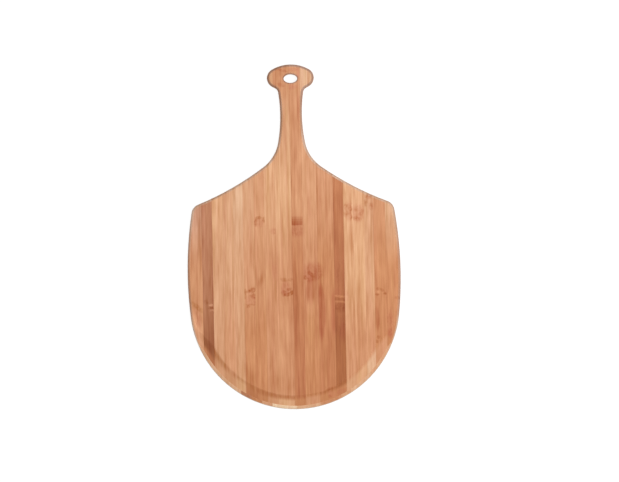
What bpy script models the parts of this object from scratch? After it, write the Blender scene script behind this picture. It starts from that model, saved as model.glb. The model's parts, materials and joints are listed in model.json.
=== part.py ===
"""Bamboo serving board with a peel outline and a hanging knob.

Two plies of flat-pressed bamboo strips are glued side by side and face to face, all running lengthwise.
The glued panel is then cut to its outline, drilled, bevelled at the nose and rounded along its edges.
The board lies flat, serving face up, handle towards +Y. The origin is at the middle of its underside.
"""

from itertools import cycle
from math import acos, atan2, ceil, cos, pi, radians, sin, sqrt, tau

import bmesh
import bpy
from mathutils import Vector

MM = 0.001

# Overall sizes
LENGTH = 494 * MM
BLADE_WIDTH = 305 * MM
FACE_PLY = 5 * MM
BACK_PLY = 5 * MM

# Blade outline: a round nose, slightly bowed sides and hollow shoulders
NOSE_DRAW_IN = 2.5 * MM
SIDE_RADIUS = 550 * MM
CORNER_RADIUS = 15 * MM
SHOULDER_RADIUS = 420 * MM
FLARE_RADIUS = 56 * MM
FLARE_START = radians(10.5)
FLARE_END = radians(54)

# Handle outline: a waisted neck and an oval knob
NECK_WIDTH = 31 * MM
NECK_RADIUS = 220 * MM
NECK_WAIST = 71.5 * MM
KNOB_WIDTH = 67 * MM
KNOB_HEIGHT = 38.5 * MM
KNOB_END_RADIUS = 14 * MM
ROUNDEST_END = 0.9
KNOB_FILLET = 9 * MM
HOLE_WIDTH = 19.5 * MM
HOLE_HEIGHT = 12.5 * MM
HOLE_DROP = 1 * MM

# Edges: the round-over everywhere, and the flat bevel of the serving face around the nose
EDGE_RADIUS = 4 * MM
HOLE_RIM = 2.5 * MM
NOSE_THICKNESS = 3.6 * MM
BEVEL_WIDTH = 20.5 * MM
BEVEL_FULL = radians(62)
BEVEL_END = radians(84)

# Strips: milled width in millimetres and tone, laid outwards from each ply's middle seam
PALE, HONEY, AMBER, DARK = "bamboo_pale", "bamboo_honey", "bamboo_amber", "bamboo_dark"
FACE_MIDDLE_SEAM = -2.2 * MM
FACE_LEFT = ((22.9, HONEY), (15.6, HONEY), (15.2, HONEY), (15.8, HONEY), (13.6, PALE),
             (15.5, PALE), (15.3, PALE), (15.0, DARK), (22.0, HONEY))
FACE_RIGHT = ((15.6, AMBER), (20.4, HONEY), (23.6, AMBER), (14.6, DARK), (14.0, PALE),
              (16.0, PALE), (12.7, PALE), (17.1, HONEY), (22.0, HONEY))
BACK_MIDDLE_SEAM = 0.6 * MM
BACK_LEFT = ((18.4, PALE), (16.9, PALE), (15.4, HONEY), (14.2, AMBER), (15.0, HONEY),
             (14.6, PALE), (14.0, HONEY), (14.9, AMBER), (13.9, HONEY), (16.0, PALE))
BACK_RIGHT = ((17.2, PALE), (16.4, PALE), (15.1, AMBER), (14.4, HONEY), (14.0, HONEY),
              (15.2, DARK), (14.7, HONEY), (13.8, PALE), (15.4, HONEY), (16.0, AMBER))
NARROWEST_STRIP = 12 * MM
GLUE_LINE = 0.3 * MM

# Fineness of the curves: how far a straight facet may cut inside its arc, and facets per round-over
SAGITTA = 0.06 * MM
ROUND_STEPS = 4
HOLE_STEPS = 32
SAME_POINT = 0.0006 * MM
SAME_PLANE = radians(0.05)
CREASE = radians(35)

# Colours and finish: carbonised bamboo under a thin coat of oil
TONES = {PALE: "dfa67f", HONEY: "d4956d", AMBER: "c88860", DARK: "b67656"}
ROUGHNESS = 0.45

THICKNESS = BACK_PLY + FACE_PLY
NOSE_RADIUS = BLADE_WIDTH / 2 - NOSE_DRAW_IN
NOSE_CENTRE = Vector((0, -LENGTH / 2 + NOSE_RADIUS))
KNOB_CENTRE = Vector((0, LENGTH / 2 - KNOB_HEIGHT / 2))
HOLE_CENTRE = KNOB_CENTRE - Vector((0, HOLE_DROP))
CLEAR = max(LENGTH, BLADE_WIDTH)


def clear_scene():
    for obj in list(bpy.data.objects):
        bpy.data.objects.remove(obj, do_unlink=True)


def linear(hex_colour):
    """sRGB hex to linear RGBA."""
    channels = [int(hex_colour[i:i + 2], 16) / 255 for i in (0, 2, 4)]
    return [c / 12.92 if c <= 0.04045 else ((c + 0.055) / 1.055) ** 2.4 for c in channels] + [1]


def bamboo(tone):
    material = bpy.data.materials.new(tone)
    material.use_nodes = True
    material.diffuse_color = linear(TONES[tone])
    shader = material.node_tree.nodes["Principled BSDF"]
    shader.inputs["Base Color"].default_value = linear(TONES[tone])
    shader.inputs["Roughness"].default_value = ROUGHNESS
    shader.inputs["Metallic"].default_value = 0
    return material


# Plane geometry of the outline

def direction(angle):
    return Vector((cos(angle), sin(angle)))


def bearing(centre, point):
    return atan2(point.y - centre.y, point.x - centre.x)


def circles_meet(centre_a, radius_a, centre_b, radius_b, prefer):
    """The crossing point of two circles that reaches furthest along prefer."""
    gap = centre_b - centre_a
    along = (gap.length_squared + radius_a ** 2 - radius_b ** 2) / (2 * gap.length)
    across = sqrt(radius_a ** 2 - along ** 2)
    foot = centre_a + gap.normalized() * along
    side = Vector((-gap.y, gap.x)).normalized() * across
    return max(foot + side, foot - side, key=prefer.dot)


def arc(centre, radius, start, end):
    """Points from bearing start to end, the shorter way round, each with its normal into the board.

    A turn to the left is convex on an outline that runs anticlockwise, so its normal points at the centre.
    """
    turn = (end - start + pi) % tau - pi
    steps = max(1, ceil(abs(turn) / (2 * acos(1 - SAGITTA / radius))))
    inward = -1 if turn > 0 else 1
    for step in range(steps + 1):
        out = direction(start + turn * step / steps)
        yield centre + out * radius, out * inward


def right_half_outline():
    """The edge from the nose's tip to the knob's top, as tangent arcs on the board's right."""
    half_width = BLADE_WIDTH / 2
    rise = sqrt((SIDE_RADIUS - NOSE_RADIUS) ** 2 - (SIDE_RADIUS - half_width) ** 2)
    side = Vector((half_width - SIDE_RADIUS, NOSE_CENTRE.y + rise))

    neck = Vector((NECK_WIDTH / 2 + NECK_RADIUS, LENGTH / 2 - NECK_WAIST))
    flare = neck - direction(FLARE_START) * (NECK_RADIUS - FLARE_RADIUS)
    shoulder = flare + direction(FLARE_END) * (SHOULDER_RADIUS - FLARE_RADIUS)
    corner = circles_meet(shoulder, SHOULDER_RADIUS + CORNER_RADIUS, side, SIDE_RADIUS - CORNER_RADIUS,
                          Vector((1, 0)))

    long_half, short_half = KNOB_WIDTH / 2, KNOB_HEIGHT / 2
    end_radius = min(KNOB_END_RADIUS, short_half * ROUNDEST_END)
    end = KNOB_CENTRE + Vector((long_half - end_radius, 0))
    span = (long_half - end_radius) ** 2 + short_half ** 2 - end_radius ** 2
    crown_radius = span / (2 * (short_half - end_radius))
    crown = KNOB_CENTRE - Vector((0, crown_radius - short_half))
    under = KNOB_CENTRE + Vector((0, crown_radius - short_half))
    fillet = circles_meet(under, crown_radius + KNOB_FILLET, neck, NECK_RADIUS - KNOB_FILLET, Vector((0, -1)))

    arcs = (
        (NOSE_CENTRE, NOSE_RADIUS, -pi / 2, bearing(side, NOSE_CENTRE)),
        (side, SIDE_RADIUS, bearing(side, NOSE_CENTRE), bearing(side, corner)),
        (corner, CORNER_RADIUS, bearing(side, corner), bearing(corner, shoulder)),
        (shoulder, SHOULDER_RADIUS, bearing(shoulder, corner), FLARE_END + pi),
        (flare, FLARE_RADIUS, FLARE_END + pi, FLARE_START + pi),
        (neck, NECK_RADIUS, FLARE_START + pi, bearing(neck, fillet)),
        (fillet, KNOB_FILLET, bearing(neck, fillet), bearing(fillet, under)),
        (under, crown_radius, bearing(under, fillet), bearing(under, end)),
        (end, end_radius, bearing(under, end), bearing(crown, end)),
        (crown, crown_radius, bearing(crown, end), pi / 2),
    )
    stations = []
    for number, each in enumerate(arcs):
        stations += list(arc(*each))[min(number, 1):]
    return stations


def outline():
    """Stations all the way round, anticlockwise: the right half and its mirror image."""
    right = right_half_outline()
    flip = Vector((-1, 1))
    left = [(point * flip, normal * flip) for point, normal in reversed(right[1:-1])]
    return right + left


# The glued panel's finished shape

def bevel_share(point):
    """1 where the nose bevel is full, 0 where it has run out up the sides, easing between them."""
    from_tip = abs(bearing(NOSE_CENTRE, point) + pi / 2)
    share = min(max((BEVEL_END - from_tip) / (BEVEL_END - BEVEL_FULL), 0), 1)
    return share ** 2 * (3 - 2 * share)


def edge_profile(share):
    """Distance in from the outline and height, from the underside, round the edge, to the serving face."""
    height = THICKNESS - share * (THICKNESS - NOSE_THICKNESS)
    radius = min(EDGE_RADIUS, height / 2)
    width = radius + share * (BEVEL_WIDTH - radius)
    slope = atan2(THICKNESS - height, width)
    wall_top = height + radius * (sin(slope) - 1) / cos(slope)
    turns = [step / ROUND_STEPS for step in range(ROUND_STEPS + 1)]
    lower = [(radius * (1 - sin(turn * pi / 2)), radius * (1 - cos(turn * pi / 2))) for turn in turns]
    angles = [turn * (pi / 2 - slope) for turn in turns]
    upper = [(radius * (1 - cos(angle)), wall_top + radius * sin(angle)) for angle in angles]
    return lower + upper + [(width, THICKNESS)]


def loft(name, loops):
    """A closed body over a stack of loops, lowest first."""
    bm = bmesh.new()
    rings = []
    for loop in loops:
        corners = [bm.verts.new(point) for point in loop]
        rings.append([bm.edges.new(pair) for pair in zip(corners, corners[1:] + corners[:1])])
    for lower, upper in zip(rings, rings[1:]):
        bmesh.ops.bridge_loops(bm, edges=lower + upper)
    bmesh.ops.contextual_create(bm, geom=rings[0])
    bmesh.ops.contextual_create(bm, geom=rings[-1])
    bmesh.ops.remove_doubles(bm, verts=bm.verts, dist=SAME_POINT)
    bmesh.ops.recalc_face_normals(bm, faces=bm.faces)
    mesh = bpy.data.meshes.new(name)
    bm.to_mesh(mesh)
    bm.free()
    return link(name, mesh)


def link(name, mesh):
    obj = bpy.data.objects.new(name, mesh)
    bpy.context.collection.objects.link(obj)
    return obj


def as_guide(obj):
    obj.hide_render = True
    obj.display_type = "WIRE"
    return obj


def cut(obj, operation, other):
    modifier = obj.modifiers.new(operation.lower(), "BOOLEAN")
    modifier.operation = operation
    modifier.solver = "EXACT"
    modifier.object = other


def hole_cutter():
    """An oval plug through the knob that swells at both faces to round the hole's rims."""
    turns = [step / ROUND_STEPS * pi / 2 for step in range(ROUND_STEPS + 1)]
    rim = [(HOLE_RIM * (1 - cos(turn)), HOLE_RIM * (1 - sin(turn))) for turn in turns]
    levels = [(HOLE_RIM, -HOLE_RIM)] + rim[::-1]
    levels += [(swell, THICKNESS - depth) for swell, depth in rim]
    levels.append((HOLE_RIM, THICKNESS + HOLE_RIM))
    loops = []
    for swell, height in levels:
        half = Vector((HOLE_WIDTH / 2 + swell, HOLE_HEIGHT / 2 + swell))
        ring = [HOLE_CENTRE + direction(tau * step / HOLE_STEPS) * half for step in range(HOLE_STEPS)]
        loops.append([(*point, height) for point in ring])
    return as_guide(loft("hanging_hole_cutter", loops))


def finished_shape():
    """The board as one body, to which every strip is cut."""
    stations = outline()
    profiles = [edge_profile(bevel_share(point)) for point, _ in stations]
    loops = []
    for level in range(len(profiles[0])):
        loop = []
        for (point, normal), profile in zip(stations, profiles):
            inset, height = profile[level]
            loop.append((*(point + normal * inset), height))
        loops.append(loop)
    board = as_guide(loft("board_shape", loops))
    cut(board, "DIFFERENCE", hole_cutter())
    return board


# The strips

def lay_outwards(middle_seam, strips, side):
    """Inner seam, outer seam and tone of each strip on one side, until they cover the blade.

    A last strip too narrow to glue is left out, and the one before it is cut wider.
    """
    laid = []
    inner = middle_seam
    for width, tone in cycle(strips):
        outer = inner + side * width * MM
        if abs(outer) > BLADE_WIDTH / 2 - NARROWEST_STRIP:
            laid.append((inner, side * CLEAR, tone))
            return laid
        laid.append((inner, outer, tone))
        inner = outer


def strip_blank(name, seams, floor, roof, board):
    """A straight bar between two seams, cut to the board's finished shape."""
    left, right = sorted(seams)
    size = Vector((right - left - GLUE_LINE, 2 * CLEAR, roof - floor))
    bm = bmesh.new()
    bmesh.ops.create_cube(bm, size=1)
    bmesh.ops.scale(bm, vec=size, verts=bm.verts)
    mesh = bpy.data.meshes.new(name)
    bm.to_mesh(mesh)
    bm.free()
    blank = as_guide(link(name, mesh))
    blank.location = ((left + right) / 2, 0, (floor + roof) / 2)
    cut(blank, "INTERSECT", board)
    return blank


def separate_bodies(mesh):
    """One bmesh per closed body in a mesh, the one nearest the nose first."""
    whole = bmesh.new()
    whole.from_mesh(mesh)
    groups = []
    left_over = set(whole.faces)
    while left_over:
        group, front = set(), [left_over.pop()]
        while front:
            face = front.pop()
            group.add(face.index)
            near = {other for edge in face.edges for other in edge.link_faces} & left_over
            left_over -= near
            front += near
        groups.append(group)
    bodies = []
    for group in groups:
        body = whole.copy()
        body.faces.ensure_lookup_table()
        others = [face for face in body.faces if face.index not in group]
        bmesh.ops.delete(body, geom=others, context="FACES")
        bodies.append(body)
    whole.free()
    return sorted(bodies, key=lambda body: min(vert.co.y for vert in body.verts))


def finish_strips(blank, tone, materials, parent):
    """Turn a cut blank into strips: the neck leaves the knob's end of some blanks as a piece of its own."""
    depsgraph = bpy.context.evaluated_depsgraph_get()
    shaped = bpy.data.meshes.new_from_object(blank.evaluated_get(depsgraph))
    for number, body in enumerate(separate_bodies(shaped)):
        name = blank.name.removesuffix("_blank") + ("_knob" if number else "")
        bmesh.ops.dissolve_limit(body, angle_limit=SAME_PLANE, verts=body.verts, edges=body.edges)
        mesh = bpy.data.meshes.new(name)
        body.to_mesh(mesh)
        body.free()
        mesh.materials.append(materials[tone])
        mesh.shade_smooth()
        mesh.set_sharp_from_angle(angle=CREASE)
        strip = link(name, mesh)
        strip.location = blank.location
        strip.parent = parent
    bpy.data.meshes.remove(shaped)


def lay_ply(ply, middle_seam, left, right, floor, roof, board):
    """Cut blanks across one ply, numbered outwards from its middle seam on each side, each with its tone."""
    blanks = []
    for side, sign, strips in (("left", -1, left), ("right", 1, right)):
        for number, (inner, outer, tone) in enumerate(lay_outwards(middle_seam, strips, sign), 1):
            name = f"{ply}_strip_{side}_{number:02d}_blank"
            blanks.append((strip_blank(name, (inner, outer), floor, roof, board), tone))
    return blanks


def main():
    clear_scene()
    materials = {tone: bamboo(tone) for tone in TONES}
    parent = bpy.data.objects.new("serving_board", None)
    bpy.context.collection.objects.link(parent)
    board = finished_shape()
    half_glue = GLUE_LINE / 2
    blanks = lay_ply("back", BACK_MIDDLE_SEAM, BACK_LEFT, BACK_RIGHT, -CLEAR, BACK_PLY - half_glue, board)
    blanks += lay_ply("face", FACE_MIDDLE_SEAM, FACE_LEFT, FACE_RIGHT, BACK_PLY + half_glue, CLEAR, board)
    bpy.context.view_layer.update()
    for blank, tone in blanks:
        finish_strips(blank, tone, materials, parent)
    for blank, _ in blanks:
        bpy.data.objects.remove(blank, do_unlink=True)


main()
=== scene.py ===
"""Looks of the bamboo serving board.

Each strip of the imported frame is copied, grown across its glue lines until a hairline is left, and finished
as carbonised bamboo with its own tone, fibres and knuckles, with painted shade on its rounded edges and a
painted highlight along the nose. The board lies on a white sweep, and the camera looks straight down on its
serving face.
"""

import json
from collections import namedtuple
from math import cos, radians, sin

import bmesh
import bpy
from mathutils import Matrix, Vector


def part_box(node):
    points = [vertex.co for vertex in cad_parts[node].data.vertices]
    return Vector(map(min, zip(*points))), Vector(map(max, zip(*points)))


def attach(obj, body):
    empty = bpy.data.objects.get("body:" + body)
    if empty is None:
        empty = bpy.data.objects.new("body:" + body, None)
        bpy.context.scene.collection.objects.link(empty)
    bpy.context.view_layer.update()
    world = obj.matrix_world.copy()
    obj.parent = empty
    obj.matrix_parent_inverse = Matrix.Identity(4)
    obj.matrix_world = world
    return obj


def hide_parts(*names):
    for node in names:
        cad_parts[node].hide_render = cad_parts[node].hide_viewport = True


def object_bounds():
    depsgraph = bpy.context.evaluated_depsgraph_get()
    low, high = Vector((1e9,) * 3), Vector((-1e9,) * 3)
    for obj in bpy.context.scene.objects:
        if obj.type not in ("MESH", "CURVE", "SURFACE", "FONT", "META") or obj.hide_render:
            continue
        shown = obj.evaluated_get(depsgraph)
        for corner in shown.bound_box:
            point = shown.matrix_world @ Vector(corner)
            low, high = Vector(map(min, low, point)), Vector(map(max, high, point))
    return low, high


MM = 0.001

# The photograph's frame: its size, its scale on the board, and where and how the board lies in it
PHOTO_SIZE = (619, 482)
MM_PER_PIXEL = 1.4326
BOARD_CENTRE_PIXEL = (293.45, 236.9)
ROLL = radians(1.13)
LENS = 135
SENSOR = 36

# Joints: the hairline that is left of a glue line, and how far from a seam glue has darkened the bamboo
HAIRLINE = 0.03 * MM
SAME_POINT = 0.001 * MM
GLUE_STAIN_MM = 0.6
# Facets within the crease angle of each other are one rounded surface, and a flat face rounds off only into
# facets within the flat crease
CREASE = radians(32)
FLAT_CREASE = radians(12)
FLAT = 0.99995

# Bamboo tones, palest first
TONES = {
    "cream": "f0cba5",
    "straw": "e0ad86",
    "pale": "dfa67a",
    "honey": "d89e75",
    "gold": "d7996f",
    "caramel": "d4946b",
    "rose": "cb9376",
    "toffee": "cf8e64",
    "amber": "c98558",
    "copper": "c37d52",
    "clay": "bc7d5a",
    "russet": "bc744b",
    "chestnut": "b26b42",
    "wine": "a56541",
    "umber": "a86238",
}
# Where along the board, in millimetres, a strip has its foot, middle, head, neck and knob tones. Most strips
# grow paler towards the head: partly their own tone, partly a painted sheen on the upper blade
TONE_STATIONS_MM = (-150, -52, 60, 165, 232)

# A mark lies in one strip: its middle, half width and half height in millimetres, how much lighter or darker
# it is, its tilt in degrees, how much more golden, or redder if negative, and how soft its rim is
Mark = namedtuple("Mark", "x y width height shade tilt gold soft", defaults=(0, 0, 0.55))
# A strip has its tones from foot to head or knob, the shade and thickness in millimetres of its rind and the
# tone of its heart, which the bevel lays bare, its knuckles, in which the fibres swirl, and its plain streaks
# and patches
Strip = namedtuple("Strip", "tones rind thick heart knuckles streaks", defaults=((), ()))

# The serving face's strips, from left to right
FACE = {
    "left_09": Strip(("toffee", "toffee", "rose"), -0.08, 1.8, "caramel", (
        Mark(-139, -98, 15, 4.6, -0.22, -43, 0.2),
        Mark(-143, -107, 10, 9, 0.06, 0, -0.25),
        Mark(-137, -118, 8, 11, -0.1, 0, -0.35),
    ), (
        Mark(-133.5, 20, 5, 75, -0.14),
        Mark(-143, 25, 9, 60, 0.1, 0, 0.1),
        Mark(-143, -30, 3, 60, 0.04),
        Mark(-138.5, -140, 9, 34, 0.17, 0, -0.2, 0.4),
        Mark(-151, -85, 6, 45, -0.12),
        # Painted highlight: the pale lip along the left edge of the nose, where the edge catches the light
        Mark(-141, -127, 6.5, 42, 0.42, 16.5, 0, 1),
        Mark(-133.5, -108, 4, 16, -0.14),
    )),
    "left_08": Strip(("wine", "clay", "clay"), -0.1, 2.6, "russet", (
        Mark(-127, -90.5, 5, 4.6, -0.2),
        Mark(-119.5, -95.5, 5, 2.1, 0.6),
        Mark(-119.5, -99.5, 6, 2.4, -0.3),
        Mark(-118, -103, 5.5, 1.9, 0.32),
    ), (
        Mark(-118.5, -75, 4, 110, -0.2),
        Mark(-125, 25, 4, 45, 0.06),
        Mark(-128, -100, 3, 60, 0.06),
        Mark(-122, -152, 12, 24, -0.12, 0, -0.2, 1),
        Mark(-130, -160, 5, 16, 0.4, 28, 0, 1),
    )),
    "left_07": Strip(("honey", "honey", "pale"), -0.3, 1.5, "gold", (), (
        Mark(-108.5, -110, 13, 45, 0.09),
        Mark(-108, -192, 10, 11, 0.16, 0, 0, 1),
    )),
    "left_06": Strip(("caramel", "honey", "honey"), -0.16, 1.2, "gold", (), (
        Mark(-97, -115, 4, 40, 0.13),
        Mark(-88, -60, 2, 60, -0.08),
    )),
    "left_05": Strip(("honey", "honey", "straw"), -0.16, 0.7, "pale", (), (
        Mark(-78.5, 30, 13, 65, 0.1),
        Mark(-78.5, -190, 30, 22, -0.1, 0, 0, 1),
        Mark(-84, -118, 3, 34, -0.2),
    )),
    "left_04": Strip(("amber", "gold", "honey"), -0.16, 1.8, "copper", (
        Mark(-70.5, -77, 4.4, 5, -0.28),
        Mark(-71, -84, 4, 5, -0.24),
        Mark(-65.5, -77, 3.2, 4, -0.24),
        Mark(-59, -75, 8.5, 5, -0.36, 15, -0.3),
        Mark(-58.5, -83.5, 8, 5.2, -0.32, -30, -0.3),
        Mark(-63, -79.5, 4.4, 2.8, 0.2, 0, -0.25),
        Mark(-63, -90, 10, 9, -0.08, 0, -0.4),
        Mark(-64, -95.8, 9, 2, -0.2),
        Mark(-66, -98.5, 4, 3.4, -0.3),
    ), (
        Mark(-62.5, -56, 7, 20, 0.1),
        Mark(-69, -112, 3.6, 28, -0.14),
        Mark(-59, -153, 4.5, 20, 0.16),
        Mark(-66, 59, 7, 18, -0.11, 0, 0, 1),
        Mark(-64, -199, 30, 22, -0.16, 0, 0, 1),
    )),
    "left_03": Strip(("amber", "toffee", "gold"), -0.26, 1.8, "amber", (
        Mark(-53.5, 22.5, 2.8, 8.5, -0.38, -6),
        Mark(-49, 28.2, 6.5, 2.8, -0.34),
        Mark(-42, 25.5, 2.7, 6, -0.36),
        Mark(-48, 21, 8, 9, -0.08, 0, -0.4),
    ), (
        Mark(-48, -61, 7.2, 19, -0.25, -24, 0, 1),
    )),
    "left_02": Strip(("toffee", "toffee", "pale", "pale", "honey"), -0.26, 1.5, "gold", (
        Mark(-28, 9, 8, 6, -0.12, 0, -0.3),
    ), (
        Mark(-36, -58, 6, 26, 0.04, 0, 0.4),
        Mark(-28, -50, 4.5, 18, 0.02, 0, -0.4),
        Mark(-26.5, -78, 2.8, 26, -0.22, 0, 0.25),
        Mark(-33, -211, 30, 22, -0.2, 0, 0, 1),
    )),
    "left_01": Strip(("toffee", "toffee", "pale", "honey", "toffee"), -0.28, 1.4, "pale", (
        Mark(-15, -61, 7, 3.4, -0.2, -15),
        Mark(-5, -61, 6.5, 3.4, -0.2, 15),
        Mark(-12.5, -74, 8, 13, -0.1, 0, -0.6, 0.4),
        Mark(-15, -80.5, 6, 6, -0.24, 0, -0.2),
        Mark(-12, -83, 6.5, 3, -0.14),
        Mark(-5, -80, 8.5, 3.8, -0.38, 33),
        Mark(-7, -75, 5, 2.6, -0.26, 20),
        Mark(-12, 238.5, 10, 2.6, -0.2, -14, -0.4),
        Mark(-14, 217.5, 8, 3.2, -0.16, -20, -0.3),
    ), (
        Mark(-22, -80, 4.2, 170, 0.12),
        Mark(-7, 176, 2.4, 18, -0.08, 0, 0.5),
        Mark(-15, 227, 4.5, 7, 0.2, 0, 0, 1),
        Mark(-13, -214, 30, 22, -0.15, 0, 0, 1),
    )),
    "right_01": Strip(("russet", "copper", "toffee", "toffee", "caramel"), 0, 1, "amber", (
        Mark(5.5, 9, 16, 12, -0.19, 0, -0.5),
        Mark(4, 239, 14, 3.4, -0.1, 6, -0.5),
        Mark(11, 233, 3.4, 9, 0.02, 0, -0.8),
        Mark(3, 214.5, 10, 5, -0.06, 0, -0.7),
    ), (
        Mark(10.5, 184, 3, 28, -0.1, 0, -0.4),
        Mark(7.5, 211, 7, 14, -0.14, 0, 0.2, 1),
        Mark(5.5, 23, 90, 7.5, -0.24, 0, -0.25, 0.4),
        Mark(5.5, 21, 90, 5.5, -0.15, 0, -0.15, 0.3),
        Mark(5.5, 19.5, 90, 3.6, -0.12, 0, -0.15, 0.4),
        Mark(5.5, 46, 7, 20, 0.1, 0, 0.15),
        Mark(0.8, -95, 5.4, 105, -0.3, 0, -0.15),
        Mark(9, -100, 4, 80, 0.04),
    )),
    "right_02": Strip(("amber", "toffee", "gold", "caramel", "straw"), -0.07, 0.6, "caramel", (
        Mark(25, -50, 20, 18, -0.1, 0, -0.3),
        Mark(23.5, -53.5, 8, 3.8, -0.22, -45, -0.1),
        Mark(15.5, -58.5, 4.6, 4, -0.28),
        Mark(28.5, -60, 5.6, 4.4, -0.06),
        Mark(22, -62.5, 5.4, 3.4, -0.02),
        Mark(20, -57, 3.6, 2.6, 0.14, 0, -0.3),
    ), (
        Mark(24, -52, 12, 19, -0.16, 0, -0.3),
        Mark(23, -77, 8.5, 26, -0.2, 0, -0.5),
        Mark(23, -101, 8, 17, 0.14),
        Mark(22, -130, 7, 32, 0.04, 0, 0.3),
        Mark(28, 72, 5, 32, -0.14),
    )),
    "right_03": Strip(("copper", "amber", "caramel"), -0.22, 0.8, "amber", (
        Mark(34, -50, 10, 16, -0.26, 0, -0.6),
        Mark(51, -226, 8, 6, 0.04, 0, -0.6),
        Mark(48, -229.5, 3.2, 3.2, -0.18, 0, -0.2),
        Mark(47, -218, 7, 2.6, -0.16, 28),
    ), (
        Mark(36, -72, 4, 20, -0.16, 0, -0.3),
        Mark(37.8, -108, 6.6, 48, -0.28, 0, -0.8, 0.35),
        Mark(55.5, -110, 5, 46, -0.2, 0, -0.9),
        Mark(48, -75, 4.4, 60, 0.1),
        Mark(37.5, 40, 5.5, 60, -0.18),
        Mark(50, 86, 11, 11, 0.1, 0, 0, 1),
    )),
    "right_04": Strip(("umber", "chestnut", "russet"), 0.05, 1, "copper", (
        Mark(65, -86.2, 18, 2, 0.34, -4),
        Mark(65, -90.2, 18, 2.6, -0.16, -4),
        Mark(65, -94, 18, 1.9, 0.28, -3),
        Mark(65, -102.5, 10, 10, -0.26, 0, -0.2),
        Mark(65, -128, 12, 22, -0.05, 0, -0.3),
        Mark(65, -50, 12, 36, 0, 0, -0.2),
    ), (
        Mark(70.5, -122, 2.4, 50, -0.12),
        Mark(68.5, -138, 6, 18, -0.06, 0, -0.6),
        Mark(62, -81, 8, 8, 0, 0, -0.6),
        Mark(60, -140, 3, 40, -0.1),
        Mark(65, 72, 14, 18, 0.18, 0, 0, 1),
        Mark(72, -214, 6, 8, 0.18, 0, 0, 1),
        Mark(64, -222.5, 9, 5, -0.06, 20, -0.6),
    )),
    "right_05": Strip(("caramel", "pale", "pale"), 0, 0.3, "honey", (
        Mark(80, 35, 12, 18, -0.11, 0, -0.4),
        Mark(76, 43, 6.5, 6, -0.2, 0, -0.1, 1),
        Mark(83, 37, 8, 7, -0.19, 0, 0, 1),
        Mark(77, 31.5, 8, 6.5, -0.18, 0, -0.1, 1),
        Mark(84, 26, 5, 4, -0.2, 0, -0.1, 1),
        Mark(75, -85, 5, 10, -0.06, 0, -0.45),
    ), (
        Mark(85, -128, 2.2, 50, -0.24),
    )),
    "right_06": Strip(("toffee", "pale", "pale"), 0, 0.3, "pale", (
        Mark(93, 32, 13, 17, -0.13, 0, -0.5),
        Mark(89.5, 25, 8, 5.6, -0.25, 20, -0.1, 1),
        Mark(93.5, 24, 7, 5, -0.2, 0, -0.1, 1),
        Mark(96, 31, 6, 6, -0.2, 0, -0.2, 1),
        Mark(91, 38, 6.5, 5, -0.16, 0, 0, 1),
        Mark(100, 36, 5, 4.6, -0.22, 0, -0.1, 1),
    ), (
        Mark(96, -128, 2.2, 52, -0.24),
    )),
    "right_07": Strip(("toffee", "honey", "honey"), 0, 0.3, "straw", (
        Mark(103.5, 47, 5.5, 9, -0.42, 0, -0.2, 1),
        Mark(107.5, 56, 8, 6, -0.38, 0, -0.3, 1),
        Mark(113, 42, 6, 8, -0.36, 0, -0.3, 1),
    ), (
        Mark(102.5, -104, 3.4, 36, -0.2),
        Mark(108, 22, 6, 13, 0.14, 0, 0, 1),
    )),
    "right_08": Strip(("amber", "amber", "toffee"), 0, 0.5, "caramel", (
        Mark(119, -81, 4, 2.8, 0.2),
        Mark(129, -83, 3.2, 3.6, -0.36),
        Mark(118, -85, 4.4, 2.5, -0.3),
        Mark(125, -78, 4.4, 2.6, -0.24, -30),
        Mark(119.5, -76.5, 3.4, 2.4, -0.2),
        Mark(119, -146, 3.2, 3.6, -0.26),
        Mark(116.5, -152, 3.2, 3.6, -0.26),
    ), (
        Mark(117.5, -119, 5, 22, -0.22, 0, -0.3),
    )),
    "right_09": Strip(("amber", "amber", "straw"), 0, 0.5, "amber", (
        Mark(148, -90, 7, 3.4, -0.24),
        Mark(136, -127, 9, 30, -0.08, 0, -0.4),
        Mark(135, -119, 9, 13, -0.1, 0, -0.2, 1),
        Mark(135.5, -140.5, 5.5, 10, -0.08, 0, -0.8, 0.8),
    )),
}
# The back ply's tones by their slot, its hearts outwards from the middle seam, and a knuckle in each strip,
# stepped along the board from strip to strip. The back's rind is no darker than its skin.
BACK_TONES = {
    "bamboo_pale": ("honey", "pale", "pale", "straw", "pale"),
    "bamboo_honey": ("caramel", "gold", "honey"),
    "bamboo_amber": ("amber", "toffee", "caramel"),
    "bamboo_dark": ("umber", "russet", "clay"),
}
BACK_HEARTS = {
    "left": ("cream", "cream", "honey", "amber", "clay", "straw", "straw", "straw", "straw", "cream"),
    "right": ("straw", "straw", "toffee", "toffee", "honey", "straw", "straw", "honey", "honey", "caramel"),
}
BACK_RIND_SHADE = 0
BACK_RIND_MM = 1
BACK_KNUCKLE_MM = (20, 4)
BACK_KNUCKLE_SHADE = -0.24
BACK_KNUCKLE_STEP_MM = 83
BACK_KNUCKLE_RANGE_MM = (-170, 90)

# Grain: each layer's size across and along the fibres in millimetres, and its contrast. Fibre bundles are
# about 0.3 mm wide in life, and are drawn coarser so that they show.
Layer = namedtuple("Layer", "across along contrast spread", defaults=((0.3, 0.7),))
BANDS = Layer(7, 400, 0.07)
STREAKS = Layer(3.5, 170, 0.15)
DASHES = Layer(2.8, 40, 0.165)
BUNDLES = Layer(0.7, 14, 0.05)
MOTTLE = Layer(12, 45, 0.09)
THREADS = Layer(1.5, 60, -0.05, (0.58, 0.74))
HUES = Layer(4, 150, 0.28)
# How far apart neighbouring strips lie in the noise, and its detail
SEED_STEP = 7.3
GRAIN_DETAIL = 2
# How many times further fibres reach into the strip than across it, and how much plainer they are in its
# heart
DEEPER = 3
HEART_CALM = 0.45
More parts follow.
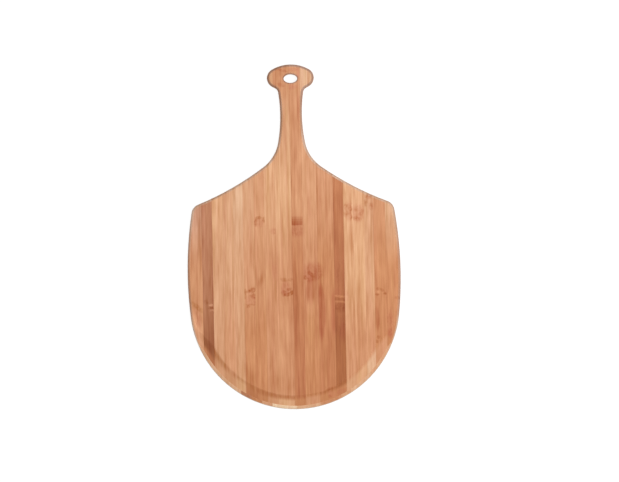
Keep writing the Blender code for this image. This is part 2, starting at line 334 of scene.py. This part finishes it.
# Knuckles: the size, reach and detail of the swirl of fibres in one, its noise's middle, and how patchy it is
SWIRL_MM = 6
SWIRL_REACH_MM = 3.5
SWIRL_DETAIL = 1
SWIRL_MIDDLE = (0.5, 0.5, 0.5)
PATCHES = Layer(2.4, 2.4, 0.45)
# How strongly red, green and blue follow the shade: bamboo reddens as it darkens
SHADE_TINT = (0.6, 1.0, 1.4)
# How red, green and blue change in golden bamboo, and the other way round in red bamboo
HUE_TINT = (0, 0.1, -0.01)
GLUE_STAIN = -0.05

# Edges: their tones at stations along the board, a painted highlight pale along the nose's edge and painted
# shade darker elsewhere, where the rounded edges turn away from the light, and how full they are
EDGE_STATIONS_MM = (-240, -128, -106, -40, 50, 110, 150, 215)
PAINTED_EDGE_TONES = ("dfbd9f", "e2c2a5", "be8e73", "c5967a", "d0a98d", "d3b098", "c19e89", "ab8878")
EDGE_SHARE = 0.8
# How level the surface is, from 0 on a wall to 1 on the face, where the painted edge tones start and where
# they
# are full: on the sides, which end where the bevel starts, and on the nose
SIDE_LEVEL = (0.9995, 0.96)
SIDE_END_MM = (-125, -100)
NOSE_LEVEL = (0.94, 0.8)
# Below the rounding the wall has no painted edge tone: how level it is where the tones end and where they are
# full
WALL_LEVEL = (0.2, 0.55)
# Less painted edge shade on the hanging hole's rim
HOLE_RIM_LESS_SHADE = Mark(0, 226.8, 17, 13.5, -0.3, soft=0.2)
# The depth over which the bevel comes into the rind, and over which the rind gives way to the heart
RIND_IN_MM = 0.7
RIND_OUT_MM = 1.4

# Oiled satin: the roughness from fibre to fibre, the gloss, and the ridges of the fibre bundles
ROUGHNESS = (0.46, 0.60)
SPECULAR = 0.2
BUMP = 0.12
BUMP_DEPTH = 0.15 * MM

# Studio: strength of the surrounding light, the key light's place, size and power, and the sweep's size, drop
# below the board, tone and glow
SURROUND = 0.5
KEY_PLACE = Vector((0.6, 0.1, 1.6))
KEY_SIZE = 1.4
KEY_POWER = 18
SWEEP_SIZE = 12
SWEEP_DROP = 0.3 * MM
SWEEP_TONE = "868686"
SWEEP_GLOW = 0.86
WHITE = (1, 1, 1, 1)


def linear(hex_colour):
    """sRGB hex to linear RGBA."""
    channels = [int(hex_colour[i:i + 2], 16) / 255 for i in (0, 2, 4)]
    return [c / 12.92 if c <= 0.04045 else ((c + 0.055) / 1.055) ** 2.4 for c in channels] + [1]


def add(tree, kind, inputs=None, **settings):
    """A node of that kind, with its settings, and its inputs set or linked."""
    node = tree.nodes.new(kind)
    for name, value in settings.items():
        setattr(node, name, value)
    for socket, value in (inputs or {}).items():
        if isinstance(value, bpy.types.NodeSocket):
            tree.links.new(value, node.inputs[socket])
        else:
            node.inputs[socket].default_value = value
    return node


# Bamboo

def along(tree, y, stations, colours):
    """A colour that changes from station to station along the board."""
    first, last = stations[0], stations[-1]
    ramp = add(tree, "ShaderNodeValToRGB", {"Fac": between(tree, y, first, last)})
    ramp.color_ramp.interpolation = "EASE"
    elements = ramp.color_ramp.elements
    elements.remove(elements[1])
    elements[0].color = colours[0]
    for colour, station in zip(colours[1:], stations[1:]):
        elements.new((station - first) / (last - first)).color = colour
    return ramp.outputs["Color"]


def grain(tree, place, layer, seed):
    """Noise drawn out along the fibres, from -1 to 1."""
    size = (1 / layer.across, 1 / layer.along, 1 / layer.across / DEEPER)
    drawn_out = add(tree, "ShaderNodeMapping", {"Vector": place, "Scale": size, "Location": (seed, seed, 0)})
    inputs = {"Vector": drawn_out.outputs[0], "Scale": 1, "Detail": GRAIN_DETAIL}
    noise = add(tree, "ShaderNodeTexNoise", inputs)
    low, high = layer.spread
    spread = {"Value": noise.outputs["Fac"], "From Min": low, "From Max": high, "To Min": -1, "To Max": 1}
    return add(tree, "ShaderNodeMapRange", spread).outputs[0]


def mark_mask(tree, place, mark):
    """1 inside a mark, fading to 0 at its rim."""
    own_frame = {"Vector": place, "Location": (mark.x, mark.y, 0), "Rotation": (0, 0, radians(mark.tilt)),
                 "Scale": (mark.width, mark.height, 0)}
    local = add(tree, "ShaderNodeMapping", own_frame, vector_type="TEXTURE").outputs[0]
    reach = add(tree, "ShaderNodeVectorMath", {0: local}, operation="LENGTH").outputs["Value"]
    fade = {"Value": reach, "From Min": 1, "From Max": 1 - mark.soft}
    return add(tree, "ShaderNodeMapRange", fade, interpolation_type="SMOOTHSTEP").outputs[0]


def weighted_sum(tree, terms, total=0):
    """The sum of the terms' patterns, each times its amount."""
    for pattern, amount in terms:
        inputs = {0: pattern, 1: amount, 2: total}
        total = add(tree, "ShaderNodeMath", inputs, operation="MULTIPLY_ADD").outputs[0]
    return total


def between(tree, value, start, end):
    """0 where the value is at the start, changing evenly to 1 at the end."""
    return add(tree, "ShaderNodeMapRange", {"Value": value, "From Min": start, "From Max": end}).outputs[0]


def product(tree, a, b):
    """One value times another."""
    return add(tree, "ShaderNodeMath", {0: a, 1: b}, operation="MULTIPLY").outputs[0]


def tinted(tree, amount, tint, base):
    """The base colour, each channel changed by the amount times its tint."""
    inputs = {0: amount, 1: tint, 2: base}
    return add(tree, "ShaderNodeVectorMath", inputs, operation="MULTIPLY_ADD").outputs[0]


def painted_edge_share(tree, surface, place, axes):
    """The painted edge tones' share: painted shade, most on the rounded edges, less at the hanging hole.

    It is 0 on the flat face, the bevel and the steep walls.
    """
    normal = add(tree, "ShaderNodeSeparateXYZ", {0: surface.outputs["Normal"]}).outputs["Z"]
    level = add(tree, "ShaderNodeMath", {0: normal}, operation="ABSOLUTE").outputs[0]
    side = product(tree, between(tree, level, *SIDE_LEVEL), between(tree, axes.outputs["Y"], *SIDE_END_MM))
    nose = between(tree, level, *NOSE_LEVEL)
    edge = add(tree, "ShaderNodeMath", {0: side, 1: nose}, operation="MAXIMUM").outputs[0]
    edge = product(tree, edge, between(tree, level, *WALL_LEVEL))
    share = weighted_sum(tree, [(mark_mask(tree, place, HOLE_RIM_LESS_SHADE), HOLE_RIM_LESS_SHADE.shade)], EDGE_SHARE)
    return product(tree, edge, share)


def bamboo(name, strip, seams, skin, seed):
    """Carbonised bamboo, flat-pressed, planed and oiled: long fibres, a knuckle here and there, a satin face.

    seams are the strip's left and right joints and skin the height of its outer face, in millimetres.
    """
    material = bpy.data.materials.new(name)
    material.use_nodes = True
    tree = material.node_tree
    shader = tree.nodes["Principled BSDF"]
    surface = add(tree, "ShaderNodeTexCoord")
    place = add(tree, "ShaderNodeVectorMath", {0: surface.outputs["Object"], "Scale": 1 / MM},
                operation="SCALE").outputs[0]
    axes = add(tree, "ShaderNodeSeparateXYZ", {0: place})

    # The bevel cuts through the strip's rind into its heart
    depth = add(tree, "ShaderNodeMath", {0: skin, 1: axes.outputs["Z"]}, operation="SUBTRACT").outputs[0]
    depth = add(tree, "ShaderNodeMath", {0: depth}, operation="ABSOLUTE").outputs[0]
    deep = between(tree, depth, strip.thick, strip.thick + RIND_OUT_MM)
    rind = product(tree, between(tree, depth, 0, RIND_IN_MM), between(tree, deep, 1, 0))

    # The knuckles are wavy and patchy
    wave = add(tree, "ShaderNodeTexNoise", {"Vector": place, "Scale": 1 / SWIRL_MM, "Detail": SWIRL_DETAIL})
    wave = add(tree, "ShaderNodeVectorMath", {0: wave.outputs["Color"], 1: SWIRL_MIDDLE},
               operation="SUBTRACT").outputs[0]
    wavy = tinted(tree, wave, [SWIRL_REACH_MM] * 3, place)
    knuckles = [(mark_mask(tree, wavy, mark), mark) for mark in strip.knuckles]
    streaks = [(mark_mask(tree, place, mark), mark) for mark in strip.streaks]
    patch = weighted_sum(tree, [(grain(tree, place, PATCHES, seed), PATCHES.contrast)], 1)

    # The fibres swirl in the knuckles and run straight elsewhere
    swirl = add(tree, "ShaderNodeMath", {0: weighted_sum(tree, [(mask, 1) for mask, _ in knuckles]), 1: 1},
                operation="MINIMUM").outputs[0]
    swirl = add(tree, "ShaderNodeVectorMath", {0: wave, 1: swirl}, operation="MULTIPLY").outputs[0]
    fibres = tinted(tree, swirl, [SWIRL_REACH_MM] * 3, place)
    layers = (BANDS, STREAKS, DASHES, BUNDLES, MOTTLE, THREADS)
    patterns = {layer: grain(tree, fibres, layer, seed) for layer in layers}
    shade = weighted_sum(tree, [(pattern, layer.contrast) for layer, pattern in patterns.items()])
    terms = [(shade, weighted_sum(tree, [(deep, -HEART_CALM)], 1))]
    terms.append((patch, weighted_sum(tree, [(mask, mark.shade) for mask, mark in knuckles])))
    terms += [(mask, mark.shade) for mask, mark in streaks]

    # Glue has stained the bamboo beside each seam
    for seam, inward in zip(seams, (1, -1)):
        terms.append((between(tree, axes.outputs["X"], seam + inward * GLUE_STAIN_MM, seam), GLUE_STAIN))

    terms.append((rind, strip.rind))

    # Tones of the skin, paler towards the head partly as a painted sheen, and of the heart
    stations = TONE_STATIONS_MM[:len(strip.tones)]
    skin_tone = along(tree, axes.outputs["Y"], stations, [linear(TONES[key]) for key in strip.tones])
    tone = add(tree, "ShaderNodeMix", {"Factor": deep, "A": skin_tone, "B": linear(TONES[strip.heart])},
               data_type="RGBA").outputs["Result"]

    # Painted shade on the rounded edges, and a painted highlight along the nose's edge
    painted_edge_tone = along(tree, axes.outputs["Y"], EDGE_STATIONS_MM, [linear(colour) for colour in PAINTED_EDGE_TONES])
    edge = painted_edge_share(tree, surface, place, axes)
    tone = add(tree, "ShaderNodeMix", {"Factor": edge, "A": tone, "B": painted_edge_tone},
               data_type="RGBA").outputs["Result"]

    # Shade and hue of the fibres
    hues = [(grain(tree, fibres, HUES, seed), HUES.contrast)]
    hues += [(mask, mark.gold) for mask, mark in knuckles + streaks if mark.gold]
    tint = tinted(tree, weighted_sum(tree, hues), HUE_TINT, (1, 1, 1))
    tint = tinted(tree, weighted_sum(tree, terms), SHADE_TINT, tint)
    tone = add(tree, "ShaderNodeVectorMath", {0: tone, 1: tint}, operation="MULTIPLY").outputs[0]
    tree.links.new(tone, shader.inputs["Base Color"])

    satin = {"Value": patterns[DASHES], "From Min": -1, "To Min": ROUGHNESS[0], "To Max": ROUGHNESS[1]}
    tree.links.new(add(tree, "ShaderNodeMapRange", satin).outputs[0], shader.inputs["Roughness"])
    ridges = {"Height": patterns[BUNDLES], "Strength": BUMP, "Distance": BUMP_DEPTH}
    ridges = add(tree, "ShaderNodeBump", ridges)
    tree.links.new(ridges.outputs[0], shader.inputs["Normal"])
    shader.inputs["Specular IOR Level"].default_value = SPECULAR
    return material


# Strips

def corner_normal(corner):
    """The normal of the facets that meet smoothly at a face's corner, the large ones counting most.

    A flat face keeps its own normal, and the rounding beside it starts from that.
    """
    own = corner.face.normal
    if abs(own.z) > FLAT:
        return own.copy()
    total = Vector()
    for face in corner.vert.link_faces:
        if abs(face.normal.z) > FLAT:
            if face.normal.dot(own) > cos(FLAT_CREASE):
                return face.normal.copy()
        elif face.normal.dot(own) > cos(CREASE):
            total += face.normal * face.calc_area()
    return total.normalized()


def finished_strip(node, outermost):
    """A copy of a strip, smooth over its rounded edges and grown to a hairline from its neighbours."""
    low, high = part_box(node)
    ply = node.split("_")[0]
    bm = bmesh.new()
    bm.from_mesh(frame["nodes"][node].data)
    bmesh.ops.remove_doubles(bm, verts=bm.verts, dist=SAME_POINT)
    walls = [(0, low.x, -1), (0, high.x, 1), (2, low.z, -1) if ply == "face" else (2, high.z, 1)]
    if outermost:
        walls.remove((0, low.x, -1) if low.x < 0 else (0, high.x, 1))
    for axis, plane, side in walls:
        wall = [vert for vert in bm.verts if abs(vert.co[axis] - plane) < SAME_POINT]
        step = Vector()
        step[axis] = side * (glue_line - HAIRLINE) / 2
        bmesh.ops.translate(bm, verts=wall, vec=step)
    bm.normal_update()
    normals = [corner_normal(corner) for face in bm.faces for corner in face.loops]
    mesh = bpy.data.meshes.new(node + "_bamboo")
    bm.to_mesh(mesh)
    bm.free()
    mesh.shade_smooth()
    mesh.normals_split_custom_set(normals)
    piece = bpy.data.objects.new(node + "_bamboo", mesh)
    bpy.context.scene.collection.objects.link(piece)
    return piece


def back_strip(slot, side, number, step, middle):
    """A back-ply strip's finish, with its knuckle a step along from its neighbour's."""
    width, height = BACK_KNUCKLE_MM
    lowest, highest = BACK_KNUCKLE_RANGE_MM
    up = lowest + step * BACK_KNUCKLE_STEP_MM % (highest - lowest)
    hearts = BACK_HEARTS[side]
    heart = hearts[min(number, len(hearts)) - 1]
    knuckle = Mark(middle, up, width, height, BACK_KNUCKLE_SHADE)
    return Strip(BACK_TONES[slot], BACK_RIND_SHADE, BACK_RIND_MM, heart, (knuckle,))


def outermost(nodes):
    """The last strip on each side of each ply, whose outer wall is the board's edge."""
    last = {}
    for node in sorted(nodes):
        ply, _, side, _ = node.removesuffix("_knob").split("_")
        last[ply, side] = node
    return set(last.values())


def finish_strips():
    """Every strip as a bamboo piece in its node's place.

    A strip and its knob end are one length of bamboo.
    """
    slots = {part["node"]: part["material_slot"] for part in frame["record"]["subparts"]}
    edge_strips = outermost(slots)
    materials = {}
    for count, node in enumerate(sorted(slots)):
        piece = finished_strip(node, node in edge_strips)
        length = node.removesuffix("_knob")
        if length not in materials:
            low, high = (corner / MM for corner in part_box(length))
            ply, _, side, number = length.split("_")
            if ply == "face":
                strip, skin = FACE[f"{side}_{number}"], high.z
            else:
                middle = (low.x + high.x) / 2
                strip, skin = back_strip(slots[node], side, int(number), count, middle), low.z
            seed = count * SEED_STEP
            materials[length] = bamboo(f"carbonised_bamboo_{length}", strip, (low.x, high.x), skin, seed)
        piece.data.materials.append(materials[length])
        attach(piece, "root")
        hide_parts(node)


# Studio

def sweep():
    """White paper under the board.

    The camera sees it glow to white, and the board's soft shadow stays on it.
    """
    bm = bmesh.new()
    bmesh.ops.create_grid(bm, x_segments=1, y_segments=1, size=SWEEP_SIZE / 2)
    bmesh.ops.translate(bm, verts=bm.verts, vec=(0, 0, -SWEEP_DROP))
    mesh = bpy.data.meshes.new("paper_sweep")
    bm.to_mesh(mesh)
    bm.free()
    floor = bpy.data.objects.new("paper_sweep", mesh)
    bpy.context.scene.collection.objects.link(floor)
    material = bpy.data.materials.new("white_paper")
    material.use_nodes = True
    tree = material.node_tree
    shader = tree.nodes["Principled BSDF"]
    shader.inputs["Base Color"].default_value = linear(SWEEP_TONE)
    shader.inputs["Roughness"].default_value = 1
    shader.inputs["Specular IOR Level"].default_value = 0
    shader.inputs["Emission Color"].default_value = WHITE
    seen = add(tree, "ShaderNodeMath", {0: seen_directly(tree), 1: SWEEP_GLOW}, operation="MULTIPLY")
    tree.links.new(seen.outputs[0], shader.inputs["Emission Strength"])
    mesh.materials.append(material)


def seen_directly(tree):
    """1 for what the camera sees, straight or in a reflection or through glass, and 0 for lighting."""
    path = add(tree, "ShaderNodeLightPath")
    seen = path.outputs["Is Camera Ray"]
    for kind in ("Is Glossy Ray", "Is Transmission Ray"):
        seen = add(tree, "ShaderNodeMath", {0: seen, 1: path.outputs[kind]}, operation="MAXIMUM").outputs[0]
    return seen


def surround():
    """Even white light from all round, seen as plain white."""
    world = bpy.data.worlds.new("studio")
    world.use_nodes = True
    tree = world.node_tree
    inputs = {"Value": seen_directly(tree), "To Min": SURROUND, "To Max": 1}
    strength = add(tree, "ShaderNodeMapRange", inputs).outputs[0]
    background = tree.nodes["Background"]
    background.inputs["Color"].default_value = WHITE
    tree.links.new(strength, background.inputs["Strength"])
    bpy.context.scene.world = world


def key_light():
    """One large soft lamp above the board, on the right."""
    light = bpy.data.lights.new("key", "AREA")
    light.size = KEY_SIZE
    light.energy = KEY_POWER
    lamp = bpy.data.objects.new("key", light)
    lamp.location = KEY_PLACE
    lamp.rotation_euler = KEY_PLACE.to_track_quat("Z", "Y").to_euler()
    bpy.context.scene.collection.objects.link(lamp)


def camera():
    """Straight above the photograph's middle, turned with the board's lean."""
    right = (PHOTO_SIZE[0] / 2 - BOARD_CENTRE_PIXEL[0]) * MM_PER_PIXEL * MM
    down = (PHOTO_SIZE[1] / 2 - BOARD_CENTRE_PIXEL[1]) * MM_PER_PIXEL * MM
    low, high = cad_box
    middle = (low + high) / 2
    aim = middle + Vector((right * cos(ROLL) - down * sin(ROLL), -right * sin(ROLL) - down * cos(ROLL), 0))
    data = bpy.data.cameras.new("camera")
    data.lens = LENS
    data.sensor_width = SENSOR
    data.clip_end = 2 * SWEEP_SIZE
    eye = bpy.data.objects.new("camera", data)
    eye.location = aim + Vector((0, 0, PHOTO_SIZE[0] * MM_PER_PIXEL * MM * LENS / SENSOR))
    eye.rotation_euler = (0, 0, -ROLL)
    bpy.context.scene.collection.objects.link(eye)
    bpy.context.scene.camera = eye


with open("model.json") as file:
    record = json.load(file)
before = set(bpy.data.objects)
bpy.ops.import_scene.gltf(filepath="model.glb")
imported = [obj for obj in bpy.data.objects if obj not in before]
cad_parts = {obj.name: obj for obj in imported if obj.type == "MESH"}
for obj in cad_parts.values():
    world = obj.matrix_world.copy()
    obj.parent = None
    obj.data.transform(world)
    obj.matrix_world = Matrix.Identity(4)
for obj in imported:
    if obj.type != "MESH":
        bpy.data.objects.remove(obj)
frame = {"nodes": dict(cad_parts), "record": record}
cad_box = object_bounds()
glue_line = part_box("face_strip_right_01")[0].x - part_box("face_strip_left_01")[1].x
bpy.context.scene.view_settings.view_transform = "Standard"
finish_strips()
sweep()
surround()
key_light()
camera()
